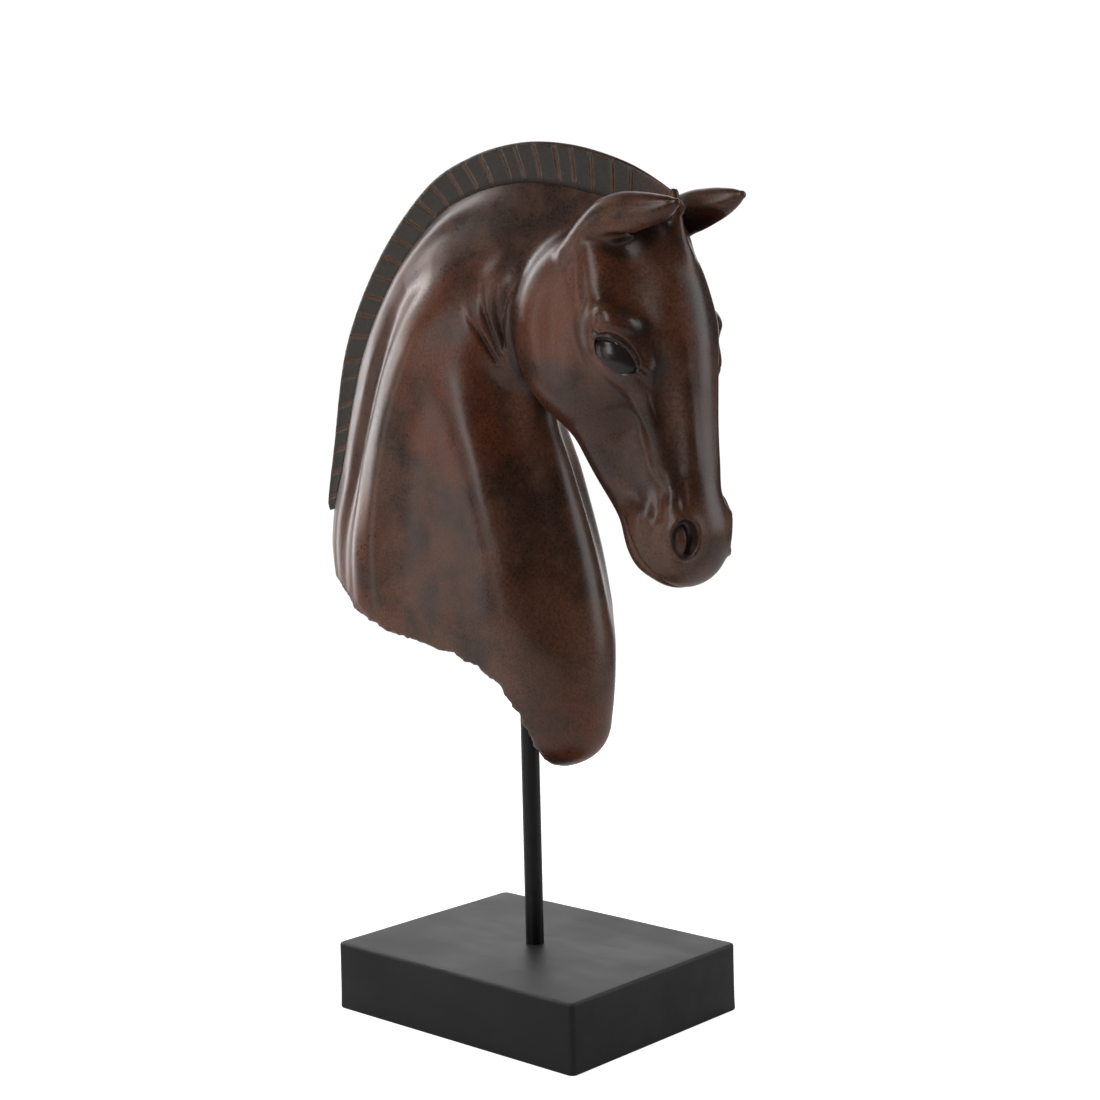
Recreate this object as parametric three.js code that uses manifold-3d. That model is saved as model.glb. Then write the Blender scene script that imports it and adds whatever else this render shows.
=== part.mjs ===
// Horse head sculpture on a rod and block: a cast of a horse's head and arched neck, broken off below,
// carried by a round rod that stands in a low block.
// Millimetres, +Z up. The origin is the centre of the block's underside, the horse looks along +X,
// and its left side is +Y. The cast is the same on both sides of the XZ plane, apart from the ears' tips.

import * as THREE from 'three';
import { mergeVertices } from 'three/addons/utils/BufferGeometryUtils.js';
import Module from 'manifold-3d';

const wasm = await Module();
wasm.setup();

// Driving sizes of the block
const blockLength = 175; // along the horse
const blockDepth = 135; // across the horse
const blockHeight = 37.5;
const blockCorner = 4; // radius of the upright edges
const blockEdge = 2; // rounding of the top and bottom edges

// Driving sizes of the rod
const rodDiameter = 10;
const rodShown = 148; // from the block's top to the underside of the cast
const rodInBlock = 25;
const rodInCast = 36;
const fitGap = 0.3; // clearance all round the rod and past its ends
const rodSides = 24;

// Driving sizes of the cast
const castHeight = 330; // from the lowest point of the neck to the top of the mane
const notchCount = 27; // cuts across each side of the mane
const headFacet = 6.2;
const neckFacet = 15;

// The cast's own form is drawn at a height of 330 mm, with its underside 185.5 mm above the ground.
// The numbers from here down to the assembly are shares of that height, written in millimetres.
const drawnHeight = 330;
const drawnUnderside = 185.5;
const drawnScale = castHeight / drawnHeight;
const castUnderside = blockHeight + rodShown;

// Top edge of the mane from the withers over the poll to the forelock: x, z, height of the mane band
const crestRows = [
  [-150, 190, 0],
  [-157, 238, 0],
  [-157.5, 272, 1],
  [-150.5, 308, 4],
  [-136, 366.5, 9],
  [-106, 415, 12],
  [-67, 451, 14],
  [-33, 466, 15],
  [4, 471, 16],
  [39, 467, 16],
  [74, 456, 15],
  [99, 443, 13],
  [115, 430, 9],
  [118, 420, 6],
  [114, 404, 3],
];
const maneThickness = 9;
const maneRoot = 5; // how far the band runs on into the neck
const maneFrom = 0.155; // shares of the crest's length where the band starts and ends
const maneTo = 0.985;
const notchWidth = 2.6;
const notchDepth = 1.5;
const notchSlant = 0.45;

// Front edge of the neck from its lowest point up to the throat: x, z
const frontRows = [[-60, 128], [5, 135], [32, 148], [43, 170], [45, 195], [42, 220], [34, 255], [19, 298],
  [8, 325], [6, 350], [24, 372], [60, 380]];

// Edge where the neck is broken off, from the withers to the front: x, z
const breakRows = [[-190, 264], [-157, 248], [-84, 215], [-43, 205.5], [-1, 195], [16, 181], [23.5, 165],
  [25, 148], [25, 120]];

// Round forms carried along a line: x, z, half depth, half width
const windpipeRows = [[30, 378, 16, 20], [8, 352, 16, 17], [3, 322, 16, 15], [14, 290, 17, 15],
  [27, 250, 17.5, 16], [34, 210, 18, 17], [32, 182, 20, 19], [30, 163, 21, 20]];
const noseRows = [[77, 425, 18, 13], [83, 408, 22, 19], [92, 391, 27, 25], [96, 368, 28, 28],
  [99, 345, 26.5, 22], [101, 320, 25, 19], [104, 297, 23.5, 18], [107, 275, 22, 18]];
const jawRows = [[58, 352, 26, 30], [66, 332, 24, 27], [76, 308, 20, 23], [88, 284, 17, 18],
  [94, 266, 14, 17]];

// Small helpers

const clamp = (value, low, high) => Math.min(Math.max(value, low), high);

function smoothStep(from, to, value) {
  const t = clamp((value - from) / (to - from), 0, 1);
  return t * t * (3 - 2 * t);
}

// A soft swelling of height 1 round a centre
const swell = (value, centre, width) => Math.exp(-(((value - centre) / width) ** 2));

// Two forms joined, cut or overlapped, rounded over about the blend's width where they meet
function join(a, b, blend) {
  const h = clamp(0.5 + (0.5 * (b - a)) / blend, 0, 1);
  return b + (a - b) * h - blend * h * (1 - h);
}

const overlap = (a, b, blend) => -join(-a, -b, blend);
const carve = (a, b, blend) => overlap(a, -b, blend);

// A smooth curve through the rows, as many short steps; the further columns change along with the place
function trace(rows, steps = 14) {
  const last = rows.length - 1;
  const before = rows[0].map((v, c) => 2 * v - rows[1][c]);
  const after = rows[last].map((v, c) => 2 * v - rows[last - 1][c]);
  const all = [before, ...rows, after];
  const path = [];
  for (let i = 0; i < last; i++) {
    for (let step = 0; step < steps; step++) {
      const f = step / steps;
      path.push(rows[0].map((_, c) => {
        const [p, q, r, s] = [all[i][c], all[i + 1][c], all[i + 2][c], all[i + 3][c]];
        return q + f * ((r - p) / 2 + f * (p - 2.5 * q + 2 * r - s / 2 + f * (1.5 * (q - r) + (s - p) / 2)));
      }));
    }
  }
  path.push(rows[last]);
  return path;
}

// The place on a path that is nearest to a point: how far the point lies to the right of the path's travel,
// how far it lies past the path's ends, and the path's row there
function locate(path, x, z) {
  const last = path.length - 2;
  let best = { distance: Infinity };
  for (let i = 0; i <= last; i++) {
    const [ax, az] = path[i];
    const dx = path[i + 1][0] - ax;
    const dz = path[i + 1][1] - az;
    const length = Math.hypot(dx, dz);
    const t = ((x - ax) * dx + (z - az) * dz) / (length * length);
    const held = clamp(t, 0, 1);
    const distance = Math.hypot(x - ax - held * dx, z - az - held * dz);
    if (distance < best.distance) {
      const beside = ((x - ax) * dz - (z - az) * dx) / length;
      best = { distance, beside, past: Math.abs(t - held) * length, i, held };
    }
  }
  const { distance, beside, past, i, held } = best;
  const row = path[i].map((v, c) => v + held * (path[i + 1][c] - v));
  return { right: Math.sign(beside) * distance, beside, past, row };
}

// Distance to a form of rounded section that is carried along a path
function carried(place, y, power = 2) {
  const [, , depth, width] = place.row;
  const small = Math.min(depth, width);
  const section = (Math.abs(place.beside / depth) ** power + Math.abs(y / width) ** power) ** (1 / power);
  return (Math.hypot(section, place.past / small) - 1) * small;
}

// Distance to an egg shape, turned in the XZ plane; with a power over 2 its sides are flatter
function egg(x, y, z, centre, radii, turn = 0, power = 2) {
  const angle = THREE.MathUtils.degToRad(turn);
  const dx = x - centre[0];
  const dz = z - centre[2];
  const u = (dx * Math.cos(angle) + dz * Math.sin(angle)) / radii[0];
  const v = Math.abs(y - centre[1]) / radii[1];
  const w = (dz * Math.cos(angle) - dx * Math.sin(angle)) / radii[2];
  if (power !== 2) return ((Math.hypot(u, w) ** power + v ** power) ** (1 / power) - 1) * Math.min(...radii);
  const inside = Math.hypot(u, v, w);
  const slope = Math.hypot(u / radii[0], v / radii[1], w / radii[2]);
  return (inside * (inside - 1)) / Math.max(slope, 1e-6);
}

// Distance to a round bar from a to b with its own radius at each end
function bar(x, y, z, a, b, radiusA, radiusB) {
  const d = [b[0] - a[0], b[1] - a[1], b[2] - a[2]];
  const along = (x - a[0]) * d[0] + (y - a[1]) * d[1] + (z - a[2]) * d[2];
  const t = clamp(along / (d[0] ** 2 + d[1] ** 2 + d[2] ** 2), 0, 1);
  const distance = Math.hypot(x - a[0] - t * d[0], y - a[1] - t * d[1], z - a[2] - t * d[2]);
  return distance - radiusA - (radiusB - radiusA) * t;
}

// The cast's lines, worked out once

const crest = trace(crestRows);
const neckTop = crest.map(([x, z, height], i) => {
  const [ax, az] = crest[Math.max(i - 1, 0)];
  const [bx, bz] = crest[Math.min(i + 1, crest.length - 1)];
  const length = Math.hypot(bx - ax, bz - az);
  return [x + (height * (bz - az)) / length, z - (height * (bx - ax)) / length];
});
const front = trace(frontRows);
const breakEdge = trace(breakRows);
const windpipe = trace(windpipeRows);
const nose = trace(noseRows);
const jaw = trace(jawRows);

function placesAt(x, z) {
  return {
    top: locate(neckTop, x, z),
    front: locate(front, x, z),
    broken: locate(breakEdge, x, z),
    windpipe: locate(windpipe, x, z),
    nose: locate(nose, x, z),
    jaw: locate(jaw, x, z),
  };
}

// Neck: its half width grows from the crest to a flat side, with a roll beside the mane, a shallow groove
// and a long ridge along it; the windpipe runs down its front with a furrow on each side
function neckForm(places, x, y, z) {
  const crestDepth = 74;
  const fromTop = places.top.right;
  const towardsHead = 0.75 * x + 0.66 * (z - 300);
  const slimming = (1 - 0.31 * smoothStep(5, 75, towardsHead)) * (1 - 0.42 * smoothStep(225, 150, z));
  const flatWidth = 42 * slimming;
  const roll = 2.2 * smoothStep(270, 330, z) * swell(fromTop, 13, 8);
  const relief = roll - 1.2 * swell(fromTop, 36, 12) + 1.8 * swell(fromTop, 62, 12);
  const turn = (clamp(fromTop / crestDepth, 1e-3, 1) * Math.PI) / 2;
  const shownRelief = relief * smoothStep(110, 30, towardsHead) * smoothStep(0, 6, fromTop);
  const fullness = 0.8 + 0.3 * smoothStep(320, 255, z);
  const halfWidth = flatWidth * Math.sin(turn) ** fullness + shownRelief;
  const rise = (flatWidth * fullness * Math.PI * Math.cos(turn)) / (2 * crestDepth);
  const flare = Math.min(rise * Math.sin(turn) ** (fullness - 1), 3);
  const side = fromTop > 0 ? (y - halfWidth) / Math.hypot(1, flare) : Math.hypot(y, fromTop);
  const insideHead = overlap(side, x - 96, 12);
  const body = join(overlap(insideHead, places.front.right, 34), carried(places.windpipe, y), 9);
  const upperFurrow = bar(x, y, z, [16, 27, 345], [31, 25, 300], 4, 5);
  const lowerFurrow = bar(x, y, z, [31, 25, 300], [50, 19, 235], 5, 3);
  return carve(body, join(upperFurrow, lowerFurrow, 5), 8);
}

// Head: nose and forehead, jaw, cheek, muzzle, chin, cheekbone, brow and the ridge above it, with hollow
// temples and nostrils
function headForm(places, x, y, z) {
  let form = join(carried(places.nose, y, 2.5), carried(places.jaw, y, 2.2), 10);
  form = join(form, egg(x, y, z, [66, 0, 371], [48, 37, 52], 14, 3.6), 7);
  form = join(form, egg(x, y, z, [108, 0, 266], [23.8, 23, 25.5], 8, 2.3), 9);
  form = join(form, egg(x, y, z, [96, 0, 257], [12, 14, 10]), 6);
  form = join(form, bar(x, y, z, [101, 26, 349], [112, 14, 296], 5.5, 1.5), 8);
  form = join(form, egg(x, y, z, [99, 31, 368], [14, 10, 12]), 8);
  form = join(form, bar(x, y, z, [88, 32, 378], [80, 29, 410], 5, 6), 9);
  form = carve(form, egg(x, y, z, [106, 31, 394], [11, 9, 13]), 6);
  form = join(form, egg(x, y, z, [119, 15, 269], [10.5, 9.5, 13]), 5);
  return carve(form, egg(x, y, z, [126, 19, 267], [5, 6, 9]), 1.5);
}

// Ear: laid forwards, a long almond with a pointed tip and a hollow underside; the left one ends higher
function earForm(x, y, z, isLeft) {
  const lift = (isLeft ? 7 : 0) * smoothStep(84, 134, x);
  let form = egg(x, y, z - lift, [95, 26, 425.5], [31, 9.5, 12], -3);
  form = join(form, bar(x, y, z - lift, [106, 26, 428], [132, 27, 431], 8, 1.6), 5);
  form = join(form, bar(x, y, z, [62, 25, 402], [84, 26, 419], 12, 11), 10);
  return carve(form, egg(x, y, z - lift, [120, 25, 415], [16, 5, 8], -16), 2);
}

// The whole cast without its mane: below zero inside, above zero outside
function castForm(x, y, z, places = placesAt(x, z)) {
  const side = Math.abs(y);
  const body = join(neckForm(places, x, side, z), headForm(places, x, side, z), 5);
  const withEars = join(body, earForm(x, side, z, y > 0), 6);
  return overlap(withEars, places.broken.right, 1);
}

// Grid lines that lie close together on the head and wide apart on the neck
function gridLines(from, to, headFrom, headTo) {
  const lines = [from];
  while (lines.at(-1) < to) {
    const away = Math.max(headFrom - lines.at(-1), lines.at(-1) - headTo, 0);
    lines.push(lines.at(-1) + headFacet + (neckFacet - headFacet) * smoothStep(0, 30, away));
  }
  return lines;
}

// Moves a point along the slope of the form until it lies on the surface
function settle(point, reach) {
  const h = 0.3;
  for (let round = 0; round < 3; round++) {
    const [x, y, z] = point;
    const slope = [
      castForm(x + h, y, z) - castForm(x - h, y, z),
      castForm(x, y + h, z) - castForm(x, y - h, z),
      castForm(x, y, z + h) - castForm(x, y, z - h),
    ].map((v) => v / (2 * h));
    const steep = Math.max(slope.reduce((sum, v) => sum + v * v, 0), 0.05);
    const step = castForm(x, y, z) / steep;
    const length = Math.abs(step) * Math.sqrt(steep);
    const held = step * Math.min(1, reach / Math.max(length, 1e-9));
    point = point.map((v, axis) => v - held * slope[axis]);
  }
  return point;
}

// Where the inside touches itself only across the diagonal of a grid square, one more corner is made inside,
// so that the surface never passes through one edge twice
function closePinches(values, count, at) {
  const justInside = -0.01;
  let changed = true;
  while (changed) {
    changed = false;
    for (let i = 0; i < count[0] - 1; i++) {
      for (let j = 0; j < count[1] - 1; j++) {
        for (let k = 0; k < count[2] - 1; k++) {
          for (let axis = 0; axis < 3; axis++) {
            const u = [0, 0, 0];
            const v = [0, 0, 0];
            u[(axis + 1) % 3] = 1;
            v[(axis + 2) % 3] = 1;
            const square = [
              at(i, j, k),
              at(i + u[0], j + u[1], k + u[2]),
              at(i + u[0] + v[0], j + u[1] + v[1], k + u[2] + v[2]),
              at(i + v[0], j + v[1], k + v[2]),
            ];
            const [a, b, c, d] = square.map((index) => values[index] < 0);
            if (a !== c || b !== d || a === b) continue;
            values[a ? square[1] : square[0]] = justInside;
            changed = true;
          }
        }
      }
    }
  }
}

// The closed surface of the cast: each grid cell that it crosses gets a vertex, and each grid edge that
// it crosses gets a face between the four cells round that edge
function castSkin() {
  const lines = [gridLines(-180, 150, 70, 150), [], gridLines(112, 485, 245, 440)];
  const half = Math.ceil(56 / headFacet);
  for (let j = -half; j <= half; j++) lines[1].push(j * headFacet);
  const count = lines.map((l) => l.length);
  const at = (i, j, k) => (i * count[1] + j) * count[2] + k;
  const values = new Float64Array(count[0] * count[1] * count[2]);
  for (let i = 0; i < count[0]; i++) {
    for (let k = 0; k < count[2]; k++) {
      const places = placesAt(lines[0][i], lines[2][k]);
      for (let j = 0; j < count[1]; j++) {
        values[at(i, j, k)] = castForm(lines[0][i], lines[1][j], lines[2][k], places);
      }
    }
  }
  closePinches(values, count, at);
  const vertices = [];
  const cellVertex = new Map();
  const corner = (cell, c) => cell.map((v, axis) => v + ((c >> axis) & 1));
  const vertexOf = (cell) => {
    const key = at(...cell);
    if (cellVertex.has(key)) return cellVertex.get(key);
    const sum = [0, 0, 0];
    let crossings = 0;
    for (let c = 0; c < 8; c++) {
      for (let axis = 0; axis < 3; axis++) {
        if ((c >> axis) & 1) continue;
        const a = corner(cell, c);
        const b = corner(cell, c | (1 << axis));
        const va = values[at(...a)];
        const vb = values[at(...b)];
        if (va < 0 === vb < 0) continue;
        const t = va / (va - vb);
        a.forEach((index, n) => {
          sum[n] += lines[n][index] + t * (lines[n][b[n]] - lines[n][index]);
        });
        crossings += 1;
      }
    }
    vertices.push(settle(sum.map((v) => v / crossings), headFacet / 2));
    cellVertex.set(key, vertices.length - 1);
    return vertices.length - 1;
  };
  const triangles = [];
  const gap = (p, q) => Math.hypot(...vertices[p].map((v, n) => v - vertices[q][n]));
  for (let i = 1; i < count[0] - 1; i++) {
    for (let j = 1; j < count[1] - 1; j++) {
      for (let k = 1; k < count[2] - 1; k++) {
        for (let axis = 0; axis < 3; axis++) {
          const next = [i, j, k];
          next[axis] += 1;
          const inside = values[at(i, j, k)] < 0;
          if (inside === values[at(...next)] < 0) continue;
          const round = [[1, 1], [0, 1], [0, 0], [1, 0]].map(([du, dv]) => {
            const cell = [i, j, k];
            cell[(axis + 1) % 3] -= du;
            cell[(axis + 2) % 3] -= dv;
            return vertexOf(cell);
          });
          const [a, b, c, d] = inside ? round : round.reverse();
          if (gap(a, c) < gap(b, d)) triangles.push(a, b, c, a, c, d);
          else triangles.push(a, b, d, b, c, d);
        }
      }
    }
  }
  return solidFrom(vertices.flat(), triangles);
}

// The mane: an upright band carried along the crest, its sides cut by slanting notches
function maneBand() {
  const line = trace(crestRows, 40);
  const lengths = [0];
  for (let i = 1; i < line.length; i++) {
    lengths.push(lengths[i - 1] + Math.hypot(line[i][0] - line[i - 1][0], line[i][1] - line[i - 1][1]));
  }
  const whole = lengths.at(-1);
  const rowAt = (length) => {
    const i = clamp(lengths.findIndex((l) => l > length) - 1, 0, line.length - 2);
    const t = (length - lengths[i]) / (lengths[i + 1] - lengths[i]);
    const dx = line[i + 1][0] - line[i][0];
    const dz = line[i + 1][1] - line[i][1];
    const step = Math.hypot(dx, dz);
    return { row: line[i].map((v, c) => v + t * (line[i + 1][c] - v)), inward: [dz / step, -dx / step] };
  };
  const start = maneFrom * whole;
  const end = maneTo * whole;
  const notchesEnd = 0.93 * whole;
  const stations = [{ length: start, dent: 0, slim: 0.4 }, { length: start + 4, dent: 0, slim: 1 }];
  for (let n = 0; n < notchCount; n++) {
    const middle = start + ((n + 0.7) * (notchesEnd - start)) / notchCount;
    [[-0.5, 0], [0, 1], [0.5, 0]].forEach(([offset, dent]) => {
      stations.push({ length: middle + offset * notchWidth, dent, slim: 1 });
    });
  }
  for (let n = 1; n <= 5; n++) {
    const share = n / 5;
    stations.push({ length: notchesEnd + share * (end - notchesEnd), dent: 0, slim: 1 - 0.6 * share });
  }
  const profile = [[1, 1.1], [0.15, 0.9], [0, 0.45], [0, -0.45], [0.15, -0.9], [1, -1.1]];
  const ring = profile.length;
  const vertices = [];
  stations.forEach(({ length, dent, slim }) => {
    const height = rowAt(length).row[2] + maneRoot;
    profile.forEach(([share, across]) => {
      const depth = share * height;
      const { row, inward } = rowAt(length + notchSlant * depth);
      const cut = share < 1 ? dent * notchDepth * slim : 0;
      const half = (maneThickness / 2) * slim * Math.abs(across) - cut;
      vertices.push(row[0] + inward[0] * depth, Math.sign(across) * half, row[1] + inward[1] * depth);
    });
  });
  const triangles = [];
  for (let s = 0; s < stations.length - 1; s++) {
    for (let p = 0; p < ring; p++) {
      const a = s * ring + p;
      const b = s * ring + ((p + 1) % ring);
      triangles.push(a, b, a + ring, b, b + ring, a + ring);
    }
  }
  const lastRing = (stations.length - 1) * ring;
  for (let p = 1; p < ring - 1; p++) {
    triangles.push(0, p + 1, p);
    triangles.push(lastRing, lastRing + p, lastRing + p + 1);
  }
  return solidFrom(vertices, triangles);
}

// Solids and meshes

function solidFrom(positions, triangles) {
  const mesh = new wasm.Mesh({
    numProp: 3,
    vertProperties: new Float32Array(positions),
    triVerts: new Uint32Array(triangles),
  });
  mesh.merge();
  return new wasm.Manifold(mesh);
}

function solidOf(geometry) {
  const bare = geometry.clone();
  bare.deleteAttribute('normal');
  bare.deleteAttribute('uv');
  const merged = mergeVertices(bare, 1e-4);
  return solidFrom(merged.attributes.position.array, merged.index.array);
}

function geometryOf(solid) {
  const { vertProperties, triVerts } = solid.getMesh();
  const geometry = new THREE.BufferGeometry();
  geometry.setAttribute('position', new THREE.BufferAttribute(vertProperties, 3));
  geometry.setIndex(new THREE.BufferAttribute(triVerts, 1));
  geometry.computeVertexNormals();
  return geometry;
}

function upright(diameter, from, to) {
  const geometry = new THREE.CylinderGeometry(diameter / 2, diameter / 2, to - from, rodSides);
  return geometry.rotateX(Math.PI / 2).translate(0, 0, (from + to) / 2);
}

const eyeball = (side) => solidOf(new THREE.SphereGeometry(1, 12, 7).scale(9.5, 5, 7)
  .rotateY(THREE.MathUtils.degToRad(38)).rotateZ(side * THREE.MathUtils.degToRad(-32))
  .translate(99.5, side * 36, 359.5));

// Assembly

const castRodTop = castUnderside + rodInCast;
const rodFoot = blockHeight - rodInBlock;

function horseHead() {
  const drawn = castSkin().add(maneBand()).add(eyeball(1)).add(eyeball(-1));
  const placed = drawn.translate([0, 0, -drawnUnderside]).scale(drawnScale).translate([0, 0, castUnderside]);
  const socket = upright(rodDiameter + 2 * fitGap, castUnderside - rodShown / 2, castRodTop + fitGap);
  return geometryOf(placed.subtract(solidOf(socket)));
}

function supportRod() {
  return upright(rodDiameter, rodFoot, castRodTop);
}

function baseBlock() {
  const halfX = blockLength / 2 - blockEdge;
  const halfY = blockDepth / 2 - blockEdge;
  const corner = blockCorner - blockEdge;
  const outline = new THREE.Shape();
  outline.absarc(halfX - corner, halfY - corner, corner, 0, Math.PI / 2);
  outline.absarc(-halfX + corner, halfY - corner, corner, Math.PI / 2, Math.PI);
  outline.absarc(-halfX + corner, -halfY + corner, corner, Math.PI, 1.5 * Math.PI);
  outline.absarc(halfX - corner, -halfY + corner, corner, 1.5 * Math.PI, 2 * Math.PI);
  const body = new THREE.ExtrudeGeometry(outline, {
    depth: blockHeight - 2 * blockEdge,
    bevelThickness: blockEdge,
    bevelSize: blockEdge,
    bevelSegments: 2,
    curveSegments: 3,
  }).translate(0, 0, blockEdge);
  const hole = upright(rodDiameter + 2 * fitGap, rodFoot - fitGap, blockHeight + blockEdge);
  return geometryOf(solidOf(body).subtract(solidOf(hole)));
}

const darkResin = new THREE.MeshStandardMaterial({ color: 0x4a2e24, roughness: 0.42, metalness: 0.05 });
const blackPaint = new THREE.MeshStandardMaterial({ color: 0x131313, roughness: 0.5, metalness: 0.1 });
const blackWash = new THREE.MeshStandardMaterial({ color: 0x171717, roughness: 0.7, metalness: 0 });

function piece(name, geometry, material) {
  const mesh = new THREE.Mesh(geometry, material);
  mesh.name = name;
  return mesh;
}

const sculpture = new THREE.Group();
sculpture.add(piece('horse_head', horseHead(), darkResin));
sculpture.add(piece('support_rod', supportRod(), blackPaint));
sculpture.add(piece('base_block', baseBlock(), blackWash));

export default sculpture;
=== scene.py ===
# Horse head sculpture: a dark cast of a horse's head and arched neck, broken off below,
# carried by a black rod that stands in a black block.
# The cast's forms are in millimetres in the frame's own axes: the horse looks along +X, its left is +Y.

import math

import bmesh
import bpy
import numpy as np
from mathutils import Matrix, Vector


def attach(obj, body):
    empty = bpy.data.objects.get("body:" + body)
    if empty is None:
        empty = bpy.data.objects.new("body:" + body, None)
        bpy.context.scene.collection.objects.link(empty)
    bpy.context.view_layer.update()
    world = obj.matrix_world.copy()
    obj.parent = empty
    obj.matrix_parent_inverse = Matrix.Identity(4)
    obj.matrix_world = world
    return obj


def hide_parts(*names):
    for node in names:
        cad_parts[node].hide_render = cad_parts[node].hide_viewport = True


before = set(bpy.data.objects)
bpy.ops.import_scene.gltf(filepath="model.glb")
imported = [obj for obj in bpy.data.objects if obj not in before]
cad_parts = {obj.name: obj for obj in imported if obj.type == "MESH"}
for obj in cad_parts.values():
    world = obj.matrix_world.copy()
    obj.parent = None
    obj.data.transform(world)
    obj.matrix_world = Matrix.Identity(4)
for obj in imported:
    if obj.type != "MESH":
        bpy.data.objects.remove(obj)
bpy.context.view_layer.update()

MM = 0.001

# Lines of the cast

# Top edge of the mane from the withers over the poll to the forelock: x, z, height of the mane band
crest_rows = [
    (-150, 190, 0),
    (-157, 238, 0),
    (-157.5, 272, 3),
    (-150.8, 308, 9),
    (-137, 367, 14),
    (-107, 416, 15.5),
    (-68, 452, 16),
    (-33, 466.3, 16),
    (4, 470.9, 16.5),
    (39, 467, 16.5),
    (74, 456, 15),
    (99, 443, 12),
    (115, 430.5, 8),
    (118, 420, 5),
    (114, 404, 3),
]

# Front edge of the neck from its lowest point up to the throat: x, z
front_rows = [
    (-60, 128), (5, 135), (32, 148), (43, 170), (45, 195), (42, 220), (34, 255), (19, 298),
    (8, 325), (6, 350), (24, 372), (60, 380),
]

# Edge where the neck is broken off, from the withers to the front: x, z
break_rows = [
    (-190, 264), (-157, 248), (-84, 215), (-43, 205.5), (-5, 195), (11, 182), (20, 166),
    (24, 148), (25, 120),
]

# Round forms carried along a line: x, z, half depth, half width
windpipe_rows = [
    (30, 378, 16, 20), (8, 352, 16, 17), (3, 322, 16, 15), (14, 290, 17, 15), (27, 250, 17.5, 16),
    (34, 210, 18, 17), (32, 182, 20, 19), (30, 163, 21, 20),
]
nose_rows = [
    (77, 425, 16, 13), (83, 408, 20, 19), (92, 391, 26, 25), (96, 368, 28, 28), (99, 345, 26.5, 22),
    (101, 320, 25, 19), (104, 297, 23.5, 18), (107, 275, 22, 18),
]
jaw_rows = [(58, 352, 26, 30), (66, 332, 24, 27), (76, 308, 20, 23), (88, 284, 17, 18), (94, 266, 14, 17)]
ear_rows = [
    (64, 408, 9, 9), (76, 418.5, 10, 9.5), (86, 424, 11.5, 9.5), (97, 426.3, 11.3, 9), (108, 427, 9.6, 8.4),
    (117, 427.6, 7.6, 7), (124.5, 428.8, 4.9, 4.8), (129.3, 429.8, 2.2, 2.4),
]

# The eye's own axes on the right side, with y counted outwards: along the opening, across it, and outwards
eye_centre = np.array([99.6, 36.6, 358.3])
eye_along = np.array([0.689, -0.345, -0.637])
eye_out = np.array([0.475, 0.879, 0.038])
eye_across = np.cross(eye_along, eye_out)
eye_across *= np.sign(eye_across[2])
eye_half_length = 13

# How much higher the left ear ends than the right one
left_ear_lift = 6.0


# Small helpers

def smooth_step(low, high, value):
    """0 below low, 1 above high, and 3t^2 - 2t^3 of the share t between."""
    t = np.clip((value - low) / (high - low), 0, 1)
    return t * t * (3 - 2 * t)


def swell(value, centre, width):
    """A soft swelling of height 1: e to the power of minus the square of the distance in widths."""
    return np.exp(-(((value - centre) / width) ** 2))


def join(a, b, blend):
    """The lower of two distances, rounded where they are within about a blend of each other."""
    h = np.clip(0.5 + 0.5 * (b - a) / blend, 0, 1)
    return b + (a - b) * h - blend * h * (1 - h)


def overlap(a, b, blend):
    """The higher of two distances, rounded in the same way."""
    return -join(-a, -b, blend)


def carve(a, b, blend):
    """Form a with form b cut out of it."""
    return overlap(a, -b, blend)


def curve_at(line, t):
    """Rows, first and second change of a line at t: each stretch is a cubic in its share (Catmull-Rom)."""
    stretch = np.clip(t.astype(int), 0, len(line["cubic"]) - 1)
    f = (t - stretch)[..., None]
    c = line["cubic"][stretch]
    row = c[..., 0, :] + f * (c[..., 1, :] + f * (c[..., 2, :] + f * c[..., 3, :]))
    change = c[..., 1, :] + f * (2 * c[..., 2, :] + 3 * f * c[..., 3, :])
    return row, change, 2 * c[..., 2, :] + 6 * f * c[..., 3, :]


# Map of the XZ plane that holds each line's nearest places: its low corner, its step and its counts
seed_low = np.array([-200.0, 100.0])
seed_step = 2.0
seed_count = (180, 200)


def make_line(rows):
    """A smooth curve through the rows, with the nearest place on it for each square of a coarse map."""
    rows = np.array(rows, float)
    ends = np.vstack([2 * rows[0] - rows[1], rows, 2 * rows[-1] - rows[-2]])
    p, q, r, s = ends[:-3], ends[1:-2], ends[2:-1], ends[3:]
    cubic = np.stack([q, (r - p) / 2, p - 2.5 * q + 2 * r - s / 2, 1.5 * (q - r) + (s - p) / 2], 1)
    line = {"cubic": cubic, "last": len(rows) - 1.0}
    t = np.linspace(0, line["last"], 12 * (len(rows) - 1) + 1)
    spots = curve_at(line, t)[0]
    x = seed_low[0] + seed_step * np.arange(seed_count[0])
    z = seed_low[1] + seed_step * np.arange(seed_count[1])
    away = (x[:, None, None] - spots[:, 0]) ** 2 + (z[None, :, None] - spots[:, 1]) ** 2
    line["seed"] = t[away.argmin(-1)]
    return line


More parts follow.
